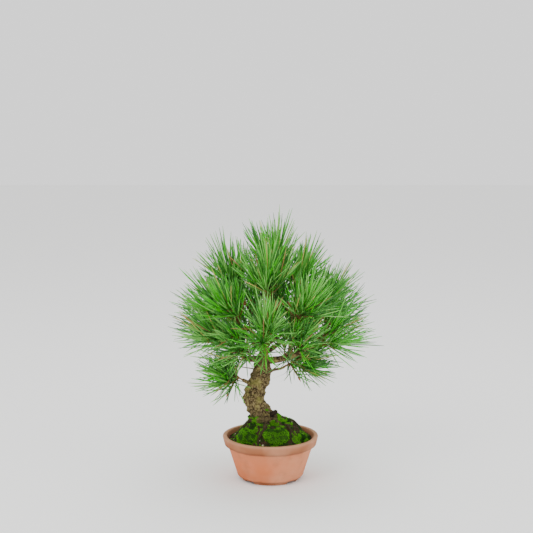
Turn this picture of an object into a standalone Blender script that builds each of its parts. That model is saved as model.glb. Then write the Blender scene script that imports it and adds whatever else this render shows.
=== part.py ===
"""A young Japanese black pine trained as a bonsai, standing in a round terracotta pot.

The pot, its soil, the moss, the trunk and the boughs are plain solids. Each mass of needles
is one solid, grown by a seeded rule: a short stem forks into twigs, and each twig ends in a
slim shoot with needles standing out of it. All sizes are in metres, Z is up, the viewer
stands towards -Y, and the origin is on the pot's axis at the level it stands on.
"""

import math
import random

import bmesh
import bpy
from mathutils import Matrix, Vector, noise
from mathutils.kdtree import KDTree

GAP = 0.0003

# Pot, from the rim down
RIM_RADIUS = 0.0750
RIM_HEIGHT = 0.0690
LIP_THICKNESS = 0.0070
LIP_ROUND = 0.0020
BAND_FOOT_RADIUS = 0.0722
BAND_HEIGHT = 0.0140
WALL_TOP_RADIUS = 0.0668
WALL_FOOT_RADIUS = 0.0512
WALL_THICKNESS = 0.0062
CORNER_ROUND = 0.0050
FOOT_RADIUS = 0.0462
FOOT_INNER_RADIUS = 0.0345
FOOT_HEIGHT = 0.0045
FLOOR_THICKNESS = 0.0060
FLOOR_CORNER_RISE = 0.0040
FLOOR_CORNER_RUN = 0.0030
SMALL_DRAFT = 0.0004
DRAIN_RADIUS = 0.0085
POT_SIDES = 36
FEET = 4
FIRST_NOTCH = math.radians(45)
NOTCH_WIDTH_LOW = 0.0230
NOTCH_WIDTH_TOP = 0.0110
NOTCH_HEIGHT = 0.0040
NOTCH_EASE = 0.0015

# Soil: a mound with a flat seat for the trunk
SOIL_EDGE_HEIGHT = 0.0630
SEAT_HEIGHT = 0.0895
SEAT_RADIUS = 0.0350
MOUND_RADIUS = 0.0600
MOUND_STEPS = 4

# Moss: compass angle, distance from the axis, half length, half width, half thickness
MOSS = {
    "moss_front_right": (281, 0.0460, 0.0200, 0.0150, 0.0080),
    "moss_front_left": (222, 0.0490, 0.0200, 0.0130, 0.0075),
    "moss_right": (335, 0.0540, 0.0110, 0.0080, 0.0050),
    "moss_back": (95, 0.0480, 0.0220, 0.0130, 0.0065),
}
MOSS_LUMP = 0.0016
MOSS_LUMPS_PER_METRE = 90

# Surface roots: compass angle, distances where they start and end, two radii, sideways bend
ROOTS = {
    "root_front": (252, 0.0300, 0.0580, 0.0042, 0.0016, 0.003),
    "root_right": (8, 0.0300, 0.0600, 0.0038, 0.0014, -0.004),
    "root_right_front": (312, 0.0310, 0.0590, 0.0032, 0.0012, 0.004),
    "root_left": (188, 0.0300, 0.0580, 0.0040, 0.0014, 0.003),
}

# Trunk: centre line as (x, y, z, radius), from the soil to the apex
TRUNK_LINE = (
    (-0.004, 0.001, 0.0898, 0.0195),
    (-0.010, 0.000, 0.0970, 0.0182),
    (-0.016, -0.001, 0.1050, 0.0170),
    (-0.023, -0.001, 0.1170, 0.0162),
    (-0.0262, 0.000, 0.1290, 0.0160),
    (-0.0235, 0.002, 0.1410, 0.0160),
    (-0.0175, 0.002, 0.1540, 0.0158),
    (-0.0145, 0.001, 0.1690, 0.0142),
    (-0.0118, 0.000, 0.1830, 0.0118),
    (-0.0105, 0.002, 0.1960, 0.0078),
    (-0.0100, 0.004, 0.2150, 0.0060),
    (-0.0060, 0.003, 0.2420, 0.0050),
    (-0.0010, -0.001, 0.2700, 0.0040),
    (0.0050, 0.000, 0.3080, 0.0028),
)
TRUNK_SIDES = 14
TRUNK_RINGS = 26
FLARE_TOP = 0.1120
FLARE_REACH = 0.0085
RIDGE_WIDTH = math.radians(20)
KNOB_SIZE = 0.0011

# Ridges where roots leave the trunk: compass angle, reach at the soil, height where each fades out
ROOT_RIDGES = (
    (8, 0.0110, 0.1250),
    (78, 0.0040, 0.1040),
    (140, 0.0050, 0.1040),
    (190, 0.0050, 0.1040),
    (250, 0.0060, 0.1060),
    (312, 0.0070, 0.1100),
)

# Boughs: parent, share of the parent's length where it leaves, end, sag of its middle, two radii
BOUGHS = {
    "bough_left_low": ("trunk", 0.440, (-0.043, -0.010, 0.1590), 0.002, 0.0046, 0.0026),
    "bough_right_twig": ("trunk", 0.540, (0.022, 0.004, 0.1770), 0.003, 0.0026, 0.0017),
    "bough_left_main": ("trunk", 0.640, (-0.058, -0.022, 0.2110), 0.005, 0.0062, 0.0030),
    "bough_right_main": ("trunk", 0.645, (0.063, -0.026, 0.2170), 0.007, 0.0066, 0.0030),
    "bough_back_low": ("trunk", 0.665, (0.000, 0.055, 0.2110), 0.003, 0.0046, 0.0024),
    "bough_front_mid": ("trunk", 0.700, (-0.008, -0.058, 0.2300), 0.003, 0.0036, 0.0022),
    "bough_back_right": ("trunk", 0.700, (0.050, 0.052, 0.2370), 0.003, 0.0044, 0.0024),
    "bough_back_left": ("trunk", 0.715, (-0.050, 0.052, 0.2350), 0.003, 0.0044, 0.0024),
    "bough_front_left": ("trunk", 0.735, (-0.044, -0.042, 0.2480), 0.003, 0.0036, 0.0022),
    "bough_front_right": ("trunk", 0.755, (0.034, -0.046, 0.2500), 0.002, 0.0036, 0.0022),
    "bough_left_high": ("trunk", 0.790, (-0.056, 0.003, 0.2480), 0.003, 0.0036, 0.0022),
    "bough_upper_left": ("trunk", 0.850, (-0.044, -0.004, 0.2850), 0.002, 0.0034, 0.0022),
    "bough_front_high": ("trunk", 0.880, (-0.004, -0.037, 0.2880), 0.002, 0.0028, 0.0020),
    "bough_back_high": ("trunk", 0.905, (0.003, 0.040, 0.2850), 0.002, 0.0028, 0.0020),
    "bough_upper_right": ("bough_right_main", 0.560, (0.038, -0.003, 0.2840), -0.006, 0.0042, 0.0024),
    "bough_right_inner": ("bough_right_main", 0.360, (0.030, -0.034, 0.2120), 0.001, 0.0024, 0.0018),
    "bough_right_mid": ("bough_right_main", 0.740, (0.070, 0.040, 0.2330), 0.003, 0.0030, 0.0020),
    "bough_left_inner": ("bough_left_main", 0.420, (-0.034, -0.034, 0.2080), 0.001, 0.0024, 0.0018),
    "bough_left_mid": ("bough_left_main", 0.600, (-0.066, 0.034, 0.2190), 0.003, 0.0032, 0.0020),
    "bough_right_high": ("bough_upper_right", 0.580, (0.060, 0.006, 0.2560), 0.001, 0.0028, 0.0020),
}
BOUGH_STEPS = 7
BOUGH_WAVER = 0.0022

# Needle masses: the limb each one grows from, its number of shoots, and its vigour
MASSES = {
    "needles_apex": ("trunk", 4, 1.02),
    "needles_upper_left": ("bough_upper_left", 3, 1.0),
    "needles_upper_right": ("bough_upper_right", 3, 0.95),
    "needles_left_high": ("bough_left_high", 3, 1.0),
    "needles_right_high": ("bough_right_high", 3, 1.0),
    "needles_left_main": ("bough_left_main", 3, 1.0),
    "needles_right_main": ("bough_right_main", 3, 1.0),
    "needles_left_mid": ("bough_left_mid", 3, 1.0),
    "needles_right_mid": ("bough_right_mid", 3, 1.0),
    "needles_left_low": ("bough_left_low", 3, 0.75),
    "needles_left_inner": ("bough_left_inner", 2, 0.80),
    "needles_right_inner": ("bough_right_inner", 2, 0.80),
    "needles_right_twig": ("bough_right_twig", 3, 0.85),
    "needles_front_mid": ("bough_front_mid", 3, 1.0),
    "needles_front_left": ("bough_front_left", 3, 1.0),
    "needles_front_right": ("bough_front_right", 3, 1.0),
    "needles_front_high": ("bough_front_high", 3, 1.0),
    "needles_back_low": ("bough_back_low", 3, 1.0),
    "needles_back_left": ("bough_back_left", 3, 1.0),
    "needles_back_right": ("bough_back_right", 3, 1.0),
    "needles_back_high": ("bough_back_high", 3, 1.0),
}
CROWN_HEART = Vector((0.000, 0.000, 0.185))
LOWEST_AIM = -0.02
SITE_REACH = 0.058
STEM_LENGTH = 0.008
STEM_RADIUS = 0.0018
TWIG_LENGTH = 0.019
TWIG_RADIUS = 0.0014
TWIG_SPREAD = math.radians(42)
LEADER_SPREAD = math.radians(6)
LEADER_SHARE = 1.3
AIM_WEIGHT = 1.4
TWIG_TRIES = 9
TWIG_LIFT = 0.12
SHOOT_LENGTH = 0.017
SHOOT_RADIUS = 0.0026
SHOOT_SIDES = 5
SHOOT_ROWS = 4
BARE_SHARE = 0.42
NEEDLE_LENGTH = 0.070
NEEDLE_TAPER = 0.28
NEEDLE_SPREAD = (math.radians(76), math.radians(12))
SHORTEST_NEEDLE = 0.60
SPACE_MARGIN = 0.0022
SPACE_BELOW = 0.036
LIMB_MARGIN = 0.0020
GOLDEN_ANGLE = math.radians(137.5)


def clear_scene():
    for item in list(bpy.data.objects):
        bpy.data.objects.remove(item, do_unlink=True)


def collection(name):
    made = bpy.data.collections.new(name)
    bpy.context.scene.collection.children.link(made)
    return made


def material(name, colour, roughness):
    made = bpy.data.materials.new(name)
    made.use_nodes = True
    shader = made.node_tree.nodes["Principled BSDF"]
    shader.inputs["Base Color"].default_value = (*colour, 1.0)
    shader.inputs["Roughness"].default_value = roughness
    shader.inputs["Metallic"].default_value = 0.0
    return made


def add_mesh(name, mesh, home, finish=None):
    made = bpy.data.objects.new(name, mesh)
    home.objects.link(made)
    if finish:
        mesh.materials.append(finish)
        mesh.shade_smooth()
        mesh.set_sharp_from_angle(angle=math.radians(40))
    return made


def as_cutter(item):
    item.hide_render = True
    item.display_type = "WIRE"
    return item


def boolean(item, operation, other):
    step = item.modifiers.new(operation.lower(), "BOOLEAN")
    step.operation = operation
    step.solver = "EXACT"
    step.object = other


def applied(item):
    """The mesh of an object as its modifiers leave it."""
    graph = bpy.context.evaluated_depsgraph_get()
    return bpy.data.meshes.new_from_object(item.evaluated_get(graph))


def drawn_mesh(name, curve, home):
    """The mesh of a curve's bevel or extrusion, its caps welded to its sides."""
    drawn = bpy.data.objects.new(name, curve)
    home.objects.link(drawn)
    mesh = applied(drawn)
    bpy.data.objects.remove(drawn)
    shape = bmesh.new()
    shape.from_mesh(mesh)
    bmesh.ops.remove_doubles(shape, verts=shape.verts, dist=0.00001)
    bmesh.ops.triangulate(shape, faces=shape.faces, quad_method="FIXED")
    shape.to_mesh(mesh)
    shape.free()
    return mesh


def arc(centre, radius, start, end, steps):
    """Profile points on an arc, from one angle to another in degrees."""
    for step in range(steps + 1):
        angle = math.radians(start + (end - start) * step / steps)
        yield centre[0] + radius * math.cos(angle), centre[1] + radius * math.sin(angle)


def turned(name, profile, home, finish, closed):
    """An object turned about Z from (radius, height) points that run down its outer side."""
    mesh = bpy.data.meshes.new(name)
    shape = bmesh.new()
    points = [shape.verts.new((radius, 0.0, height)) for radius, height in profile]
    for first, second in zip(points, points[1:]):
        shape.edges.new((first, second))
    if closed:
        shape.edges.new((points[-1], points[0]))
    shape.to_mesh(mesh)
    shape.free()
    made = add_mesh(name, mesh, home)
    screw = made.modifiers.new("turn", "SCREW")
    screw.steps = POT_SIDES
    screw.render_steps = POT_SIDES
    screw.use_merge_vertices = True
    screw.merge_threshold = 0.00001
    made.data = applied(made)
    made.modifiers.clear()
    if finish:
        made.data.materials.append(finish)
        made.data.shade_smooth()
        made.data.set_sharp_from_angle(angle=math.radians(35))
    return made


def wall_radius(height):
    """The outer radius of the pot's wall at a height between its corner and its band."""
    low = FOOT_HEIGHT
    high = RIM_HEIGHT - BAND_HEIGHT
    share = (height - low) / (high - low)
    return WALL_FOOT_RADIUS + (WALL_TOP_RADIUS - WALL_FOOT_RADIUS) * share


def inner_radius(height):
    return wall_radius(height) - WALL_THICKNESS


def make_notch(index, cutters):
    """A bridge-shaped cutter that runs out through the foot ring and leaves a foot either side."""
    half_low = NOTCH_WIDTH_LOW / 2
    half_top = NOTCH_WIDTH_TOP / 2
    right_side = (
        (half_low, -NOTCH_HEIGHT / 2),
        (half_low, 0.0),
        (half_top + NOTCH_EASE, NOTCH_HEIGHT * 0.7),
        (half_top - NOTCH_EASE, NOTCH_HEIGHT),
    )
    corners = [*right_side, *((-across, up) for across, up in reversed(right_side))]
    outline = bpy.data.curves.new("notch", "CURVE")
    outline.dimensions = "2D"
    outline.fill_mode = "BOTH"
    outline.extrude = FOOT_RADIUS * 0.6
    spline = outline.splines.new("POLY")
    spline.points.add(len(corners) - 1)
    for point, (across, up) in zip(spline.points, corners):
        point.co = (across, up, 0.0, 1.0)
    spline.use_cyclic_u = True
    mesh = drawn_mesh("notch", outline, cutters)
    turn = FIRST_NOTCH + math.tau * index / FEET
    cutter = as_cutter(add_mesh(f"notch_{index}", mesh, cutters))
    cutter.rotation_euler = (math.radians(90), 0.0, turn + math.radians(90))
    cutter.location = (FOOT_RADIUS * math.cos(turn), FOOT_RADIUS * math.sin(turn), 0.0)
    return cutter


def make_pot(home, cutters, finish):
    band_foot = RIM_HEIGHT - BAND_HEIGHT
    floor = FOOT_HEIGHT + FLOOR_THICKNESS
    lip_inner = RIM_RADIUS - LIP_THICKNESS
    corner_height = FOOT_HEIGHT + CORNER_ROUND
    profile = [
        (lip_inner + LIP_ROUND, RIM_HEIGHT),
        *arc((RIM_RADIUS - LIP_ROUND, RIM_HEIGHT - LIP_ROUND), LIP_ROUND, 90, 0, 2),
        (BAND_FOOT_RADIUS, band_foot),
        (WALL_TOP_RADIUS, band_foot - 2 * SMALL_DRAFT),
        (wall_radius(corner_height), corner_height),
        *arc((wall_radius(corner_height) - CORNER_ROUND, corner_height), CORNER_ROUND, -20, -75, 2),
        (FOOT_RADIUS - SMALL_DRAFT, FOOT_HEIGHT - SMALL_DRAFT),
        (FOOT_RADIUS - 2 * SMALL_DRAFT, 0.0),
        (FOOT_INNER_RADIUS, 0.0),
        (FOOT_INNER_RADIUS - 4 * SMALL_DRAFT, FOOT_HEIGHT),
        (DRAIN_RADIUS, FOOT_HEIGHT),
        (DRAIN_RADIUS, floor),
        (inner_radius(floor) - FLOOR_CORNER_RUN, floor),
        (inner_radius(floor + FLOOR_CORNER_RISE), floor + FLOOR_CORNER_RISE),
        (inner_radius(band_foot), band_foot),
        (lip_inner, RIM_HEIGHT - LIP_ROUND),
    ]
    pot = turned("pot", profile, home, finish, closed=True)
    for index in range(FEET):
        boolean(pot, "DIFFERENCE", make_notch(index, cutters))


def soil_height(radius):
    """The height of the soil at a distance from the pot's axis."""
    share = min(max((radius - SEAT_RADIUS) / (MOUND_RADIUS - SEAT_RADIUS), 0.0), 1.0)
    fall = share * 0.75 + (1 - math.cos(math.pi * share)) / 8
    return SEAT_HEIGHT - (SEAT_HEIGHT - SOIL_EDGE_HEIGHT) * fall


def soil_profile(lift):
    """The soil's outline, raised by lift where it is a cutter for what lies on it."""
    floor = FOOT_HEIGHT + FLOOR_THICKNESS + GAP
    side_gap = GAP * 1.2
    yield 0.0, SEAT_HEIGHT + lift
    for step in range(MOUND_STEPS + 1):
        radius = SEAT_RADIUS + (MOUND_RADIUS - SEAT_RADIUS) * step / MOUND_STEPS
        yield radius, soil_height(radius) + lift
    band_foot = RIM_HEIGHT - BAND_HEIGHT
    rise = (SOIL_EDGE_HEIGHT - band_foot) / (RIM_HEIGHT - LIP_ROUND - band_foot)
    lip_inner = RIM_RADIUS - LIP_THICKNESS
    edge = inner_radius(band_foot) + (lip_inner - inner_radius(band_foot)) * rise
    yield edge - side_gap, SOIL_EDGE_HEIGHT + lift
    yield inner_radius(band_foot) - side_gap, band_foot
    yield inner_radius(floor + FLOOR_CORNER_RISE) - side_gap, floor + FLOOR_CORNER_RISE
    yield inner_radius(floor) - FLOOR_CORNER_RUN - side_gap, floor
    yield 0.0, floor


def make_moss(name, home, cutters, finish):
    """A lumpy cushion that lies on the mound, cut off 0.3 mm clear of what is under it."""
    degrees, distance, length, width, thickness = MOSS[name]
    mesh = bpy.data.meshes.new(name)
    shape = bmesh.new()
    bmesh.ops.create_uvsphere(shape, u_segments=14, v_segments=7, radius=1.0)
    slope = math.atan2(soil_height(distance - width / 2) - soil_height(distance + width / 2), width)
    lie = Matrix.Rotation(math.radians(degrees), 4, "Z")
    lie @= Matrix.Translation((distance, 0.0, soil_height(distance)))
    lie @= Matrix.Rotation(slope, 4, "Y")
    lie @= Matrix.Diagonal((width, length, thickness, 1.0))
    shape.transform(lie)
    for point in shape.verts:
        lump = noise.noise(point.co * MOSS_LUMPS_PER_METRE) * MOSS_LUMP
        point.co += (point.co - lie.translation).normalized() * lump
    shape.to_mesh(mesh)
    shape.free()
    moss = add_mesh(name, mesh, home, finish)
    for cutter in cutters:
        boolean(moss, "DIFFERENCE", cutter)


def make_root(name, home, cutters, finish):
    """A root that runs down the mound, half sunk in it and cut off clear of the soil."""
    degrees, near, far, thick, thin, bend = ROOTS[name]
    steps = 6
    line = []
    for step in range(steps + 1):
        share = step / steps
        radius = near + (far - near) * share
        side = bend * math.sin(2 * math.pi * share)
        angle = math.radians(degrees) + side / radius
        place = Vector((radius * math.cos(angle), radius * math.sin(angle), soil_height(radius)))
        line.append((place, thick + (thin - thick) * share))
    root = tube(name, line, home, finish)
    for cutter in cutters:
        boolean(root, "DIFFERENCE", cutter)


def smooth_line(points, share):
    """A point on the smooth curve through rows of numbers, share running from 0 to 1."""
    spans = len(points) - 1
    place = min(share * spans, spans - 1e-9)
    index = int(place)
    t = place - index
    rows = [points[max(0, min(spans, index + step))] for step in (-1, 0, 1, 2)]
    values = []
    for a, b, c, d in zip(*rows):
        values.append(
            0.5 * (2 * b + (c - a) * t + (2 * a - 5 * b + 4 * c - d) * t**2 + (3 * b - a - 3 * c + d) * t**3)
        )
    return values


def flare_share(height, top):
    return max(0.0, (top - height) / (top - SEAT_HEIGHT))


def trunk_point(share, angle, grow):
    """A point on the bark: the flare and its root ridges fade out going up."""
    x, y, height, radius = smooth_line(TRUNK_LINE, share)
    reach = radius + FLARE_REACH * flare_share(height, FLARE_TOP) ** 2
    for degrees, size, top in ROOT_RIDGES:
        away = math.remainder(angle - math.radians(degrees), math.tau) / RIDGE_WIDTH
        reach += size * flare_share(height, top) * math.exp(-(away**2))
    knobs = math.sin(3 * angle + 60 * share) + math.sin(5 * angle - 85 * share)
    reach += KNOB_SIZE * knobs * min(1.0, radius / 0.015)
    return Vector((x + (reach + grow) * math.cos(angle), y + (reach + grow) * math.sin(angle), height))


def make_trunk(name, home, finish, grow):
    """The trunk as one bent cylinder, grown outwards where it is a cutter."""
    mesh = bpy.data.meshes.new(name)
    shape = bmesh.new()
    bmesh.ops.create_cone(
        shape, cap_ends=True, cap_tris=False, segments=TRUNK_SIDES, radius1=1.0, radius2=1.0, depth=1.0
    )
    for ring in range(1, TRUNK_RINGS):
        level = (0.0, 0.0, ring / TRUNK_RINGS - 0.5)
        everything = [*shape.verts, *shape.edges, *shape.faces]
        bmesh.ops.bisect_plane(shape, geom=everything, plane_co=level, plane_no=(0.0, 0.0, 1.0))
    for point in shape.verts:
        angle = math.atan2(point.co.y, point.co.x)
        share = point.co.z + 0.5
        point.co = trunk_point(share, angle, grow)
    bmesh.ops.triangulate(shape, faces=shape.faces, quad_method="FIXED")
    shape.to_mesh(mesh)
    shape.free()
    return add_mesh(name, mesh, home, finish)


def limb_line(name):
    """The points of a limb as (place, radius), from inside its parent to its end."""
    if name == "trunk":
        rows = [smooth_line(TRUNK_LINE, step / TRUNK_RINGS) for step in range(TRUNK_RINGS + 1)]
        return [(Vector(row[:3]), row[3]) for row in rows]
    parent, share, end, sag, thick, thin = BOUGHS[name]
    start = point_on(parent, share)
    end = Vector(end)
    rng = random.Random(name)
    waver = Vector((rng.uniform(-1, 1), rng.uniform(-1, 1), rng.uniform(-1, 1))) * BOUGH_WAVER
    middle = (start + end) / 2 + Vector((0.0, 0.0, -2 * sag))
    line = []
    for step in range(BOUGH_STEPS + 1):
        t = step / BOUGH_STEPS
        place = start * (1 - t) ** 2 + middle * 2 * t * (1 - t) + end * t**2
        place += waver * math.sin(math.pi * t) * math.sin(2.5 * math.pi * t)
        line.append((place, thick + (thin - thick) * t**0.8))
    return line


def point_on(name, share):
    line = limb_line(name)
    place = share * (len(line) - 1)
    index = min(int(place), len(line) - 2)
    return line[index][0].lerp(line[index + 1][0], place - index)


def tube(name, line, home, finish, grow=0.0):
    """A tapering limb: a curve with a radius at each point."""
    curve = bpy.data.curves.new(name, "CURVE")
    curve.dimensions = "3D"
    curve.bevel_depth = 1.0
    curve.bevel_resolution = 1
    curve.use_fill_caps = True
    spline = curve.splines.new("POLY")
    spline.points.add(len(line) - 1)
    for point, (place, radius) in zip(spline.points, line):
        point.co = (*place, 1.0)
        point.radius = radius + grow
    return add_mesh(name, drawn_mesh(name, curve, home), home, finish)


def make_boughs(home, cutters, finish, trunk_cutter):
    clearances = {"trunk": trunk_cutter}
    for parent in sorted({row[0] for row in BOUGHS.values()} - {"trunk"}):
        clearances[parent] = as_cutter(tube(parent + "_clearance", limb_line(parent), cutters, None, GAP))
    for name, row in BOUGHS.items():
        bough = tube(name, limb_line(name), home, finish)
        boolean(bough, "DIFFERENCE", clearances[row[0]])


def tilted(axis, angle, turn):
    """A unit vector at an angle from the axis, turned about it."""
    side = axis.orthogonal().normalized()
    side = side * math.cos(turn) + axis.cross(side) * math.sin(turn)
    return (axis * math.cos(angle) + side * math.sin(angle)).normalized()


def mass_base(limb):
    """Where a mass starts, clear of its limb's end, and the way its stem heads."""
    line = limb_line(limb)
    end = line[-1][0]
    along = (end - line[-2][0]).normalized()
    return end + along * GAP * 1.5, along


def aim(base):
    """The way a mass heads: outwards from the crown's heart, and never far below level."""
    way = (base - CROWN_HEART).normalized()
    way.z = max(way.z, LOWEST_AIM)
    return way.normalized()


def mass_site(limb):
    base, _ = mass_base(limb)
    return base + aim(base) * SITE_REACH


def space_test(name, sites):
    """A test of whether a place is in this mass's space: nearest to its site, and not hanging low."""
    site = sites[name]
    floor = mass_base(MASSES[name][0])[0].z - SPACE_BELOW
    walls = [((other + site) / 2, (other - site).normalized()) for other in sites.values() if other != site]

    def in_space(place):
        return place.z > floor and all((place - middle).dot(way) < -SPACE_MARGIN for middle, way in walls)

    return in_space


def limb_test(limbs):
    """A test of whether a needle passes clear of the trunk and the boughs."""

    def clear_of_limbs(start, end):
        for step in range(2, 17):
            place = start.lerp(end, step / 16)
            for _, index, distance in limbs["tree"].find_range(place, limbs["widest"] + LIMB_MARGIN):
                if distance < limbs["radii"][index] + LIMB_MARGIN:
                    return False
        return True

    return clear_of_limbs


def needle_length(longest, root, direction, in_space, clear_of_limbs):
    """The length at which a needle keeps to its space and off the limbs, or none."""
    length = longest
    while length > longest * SHORTEST_NEEDLE:
        end = root + direction * length
        if in_space(end) and in_space(root.lerp(end, 0.5)) and clear_of_limbs(root, end):
            return length
        length *= 0.9
    return None


def spray(name, tip, way, vigour, rng, in_space, clear_of_limbs, home):
    """A slim shoot whose upper facets are drawn out into needles, the top ones steepest."""
    shape = bmesh.new()
    bmesh.ops.create_uvsphere(shape, u_segments=SHOOT_SIDES, v_segments=SHOOT_ROWS, radius=1.0)
    bmesh.ops.scale(shape, vec=(SHOOT_RADIUS, SHOOT_RADIUS, SHOOT_LENGTH / 2), verts=shape.verts)
    bmesh.ops.triangulate(shape, faces=shape.faces, quad_method="FIXED")
    turn = way.to_track_quat("Z", "Y").to_matrix().to_4x4()
    turn.translation = tip + way * SHOOT_LENGTH / 2
    shape.transform(turn)
    for face in sorted(shape.faces, key=lambda facet: facet.calc_center_median().to_tuple(6)):
        root = face.calc_center_median()
        height = (root - tip).dot(way)
        share = height / SHOOT_LENGTH
        if share < BARE_SHARE:
            continue
        radial = (root - tip - way * height).normalized()
        lean = NEEDLE_SPREAD[0] + (NEEDLE_SPREAD[1] - NEEDLE_SPREAD[0]) * share
        lean *= rng.uniform(0.85, 1.15)
        direction = way * math.cos(lean) + radial * math.sin(lean)
        longest = NEEDLE_LENGTH * vigour * rng.uniform(0.88, 1.06)
        length = needle_length(longest, root, direction, in_space, clear_of_limbs)
        if length:
            drawn = bmesh.ops.extrude_discrete_faces(shape, faces=[face])["faces"][0]
            for point in drawn.verts:
                point.co = root + direction * length + (point.co - root) * NEEDLE_TAPER
    mesh = bpy.data.meshes.new(name)
    shape.to_mesh(mesh)
    shape.free()
    return add_mesh(name, mesh, home)


def twig(name, start, end, thick, thin, home):
    mesh = bpy.data.meshes.new(name)
    shape = bmesh.new()
    along = end - start
    bmesh.ops.create_cone(
        shape, cap_ends=True, cap_tris=False, segments=3, radius1=thick, radius2=thin, depth=along.length
    )
    turn = along.to_track_quat("Z", "Y").to_matrix().to_4x4()
    turn.translation = (start + end) / 2
    shape.transform(turn)
    shape.to_mesh(mesh)
    shape.free()
    return add_mesh(name, mesh, home)


def make_mass(name, sites, limbs, home, finish):
    """A stem that forks into twigs, each ending in a spray, joined by one Boolean union."""
    limb, shoots, vigour = MASSES[name]
    rng = random.Random(name)
    in_space = space_test(name, sites)
    clear_of_limbs = limb_test(limbs)
    base, along = mass_base(limb)
    heading = (along + aim(base) * AIM_WEIGHT).normalized()
    fork = base + along * STEM_LENGTH * vigour
    parts = collection(name + "_parts")
    stem = twig(name + "_stem", base, fork + along * TWIG_RADIUS, STEM_RADIUS, TWIG_RADIUS, home)
    first_turn = rng.uniform(0, math.tau)
    grown = 0
    for index in range(TWIG_TRIES):
        spread = TWIG_SPREAD * rng.uniform(0.8, 1.1) if index else LEADER_SPREAD
        way = tilted(heading, spread, first_turn + GOLDEN_ANGLE * index)
        way = (way + Vector((0.0, 0.0, TWIG_LIFT))).normalized()
        tip = fork + way * TWIG_LENGTH * vigour * (rng.uniform(0.8, 1.0) if index else LEADER_SHARE)
        if grown == shoots or not (in_space(tip) and in_space(tip + way * SHOOT_LENGTH)):
            continue
        grown += 1
        start = fork - way * TWIG_RADIUS * 0.6
        twig(f"{name}_twig_{index}", start, tip + way * 0.003, TWIG_RADIUS, TWIG_RADIUS, parts)
        spray(f"{name}_spray_{index}", tip, way, vigour, rng, in_space, clear_of_limbs, parts)
    join = stem.modifiers.new("join", "BOOLEAN")
    join.operation = "UNION"
    join.solver = "MANIFOLD"
    join.operand_type = "COLLECTION"
    join.collection = parts
    mass = add_mesh(name, applied(stem), home, finish)
    for shape in [stem, *parts.objects]:
        bpy.data.objects.remove(shape)
    bpy.data.collections.remove(parts)
    return mass


def limb_points(names):
    """The limbs' points in a tree, every few millimetres, with each point's radius."""
    places = []
    radii = []
    for name in names:
        line = limb_line(name)
        for (first, thick), (second, thin) in zip(line, line[1:]):
            steps = max(1, math.ceil((second - first).length / 0.003))
            for step in range(steps):
                places.append(first.lerp(second, step / steps))
                radii.append(thick + (thin - thick) * step / steps)
    tree = KDTree(len(places))
    for index, place in enumerate(places):
        tree.insert(place, index)
    tree.balance()
    return {"tree": tree, "radii": radii, "widest": max(radii)}


def main():
    clear_scene()
    home = collection("potted_black_pine")
    cutters = collection("cutters")
    terracotta = material("terracotta", (0.55, 0.27, 0.17), 0.85)
    soil = material("soil", (0.06, 0.04, 0.025), 0.95)
    moss = material("moss", (0.07, 0.19, 0.01), 0.95)
    bark = material("bark", (0.16, 0.12, 0.07), 0.9)
    needles = material("needles", (0.045, 0.2, 0.03), 0.5)

    make_pot(home, cutters, terracotta)
    turned("soil", soil_profile(0.0), home, soil, closed=False)
    make_trunk("trunk", home, bark, 0.0)
    trunk_cutter = as_cutter(make_trunk("trunk_clearance", cutters, None, GAP))
    soil_cutter = as_cutter(turned("soil_clearance", soil_profile(1.5 * GAP), cutters, None, closed=False))
    for name in ROOTS:
        make_root(name, home, (soil_cutter, trunk_cutter), bark)
    for name in MOSS:
        make_moss(name, home, (soil_cutter, trunk_cutter), moss)
    make_boughs(home, cutters, bark, trunk_cutter)
    limbs = limb_points(["trunk", *BOUGHS])
    sites = {name: mass_site(row[0]) for name, row in MASSES.items()}
    for name in MASSES:
        make_mass(name, sites, limbs, home, needles)


main()
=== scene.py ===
"""A young Japanese black pine trained as a bonsai in a round terracotta pot, dressed over its frame.

The limbs and the spaces of the needle masses follow the same rule and sizes as the solids. Here
each twig forks again and carries far more needles. All sizes are in metres, Z is up and
the viewer stands towards -Y.
"""

import math
import random
from functools import lru_cache, partial

import bmesh
import bpy
import numpy as np
from mathutils import Matrix, Vector, noise
from mathutils.kdtree import KDTree


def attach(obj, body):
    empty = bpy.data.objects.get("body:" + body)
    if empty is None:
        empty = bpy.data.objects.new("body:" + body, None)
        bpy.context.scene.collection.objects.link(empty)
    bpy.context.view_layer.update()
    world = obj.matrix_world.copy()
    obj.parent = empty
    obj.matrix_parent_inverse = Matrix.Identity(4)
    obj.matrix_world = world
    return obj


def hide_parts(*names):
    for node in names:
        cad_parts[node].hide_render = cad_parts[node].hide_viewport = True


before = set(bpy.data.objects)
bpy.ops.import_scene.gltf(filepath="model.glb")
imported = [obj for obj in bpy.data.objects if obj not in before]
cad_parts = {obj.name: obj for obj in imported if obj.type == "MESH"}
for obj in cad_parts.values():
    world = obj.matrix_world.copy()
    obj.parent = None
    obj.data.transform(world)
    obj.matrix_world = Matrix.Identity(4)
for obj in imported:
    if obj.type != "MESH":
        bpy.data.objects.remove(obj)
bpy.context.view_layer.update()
noise.seed_set(11)  # the noise vector that warps the bark starts from the clock unless it is seeded

GAP = 0.0003
MERGE_DISTANCE = 0.000002
SMOOTH_ALL = 180  # the angle in degrees past which an edge stays sharp

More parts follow.
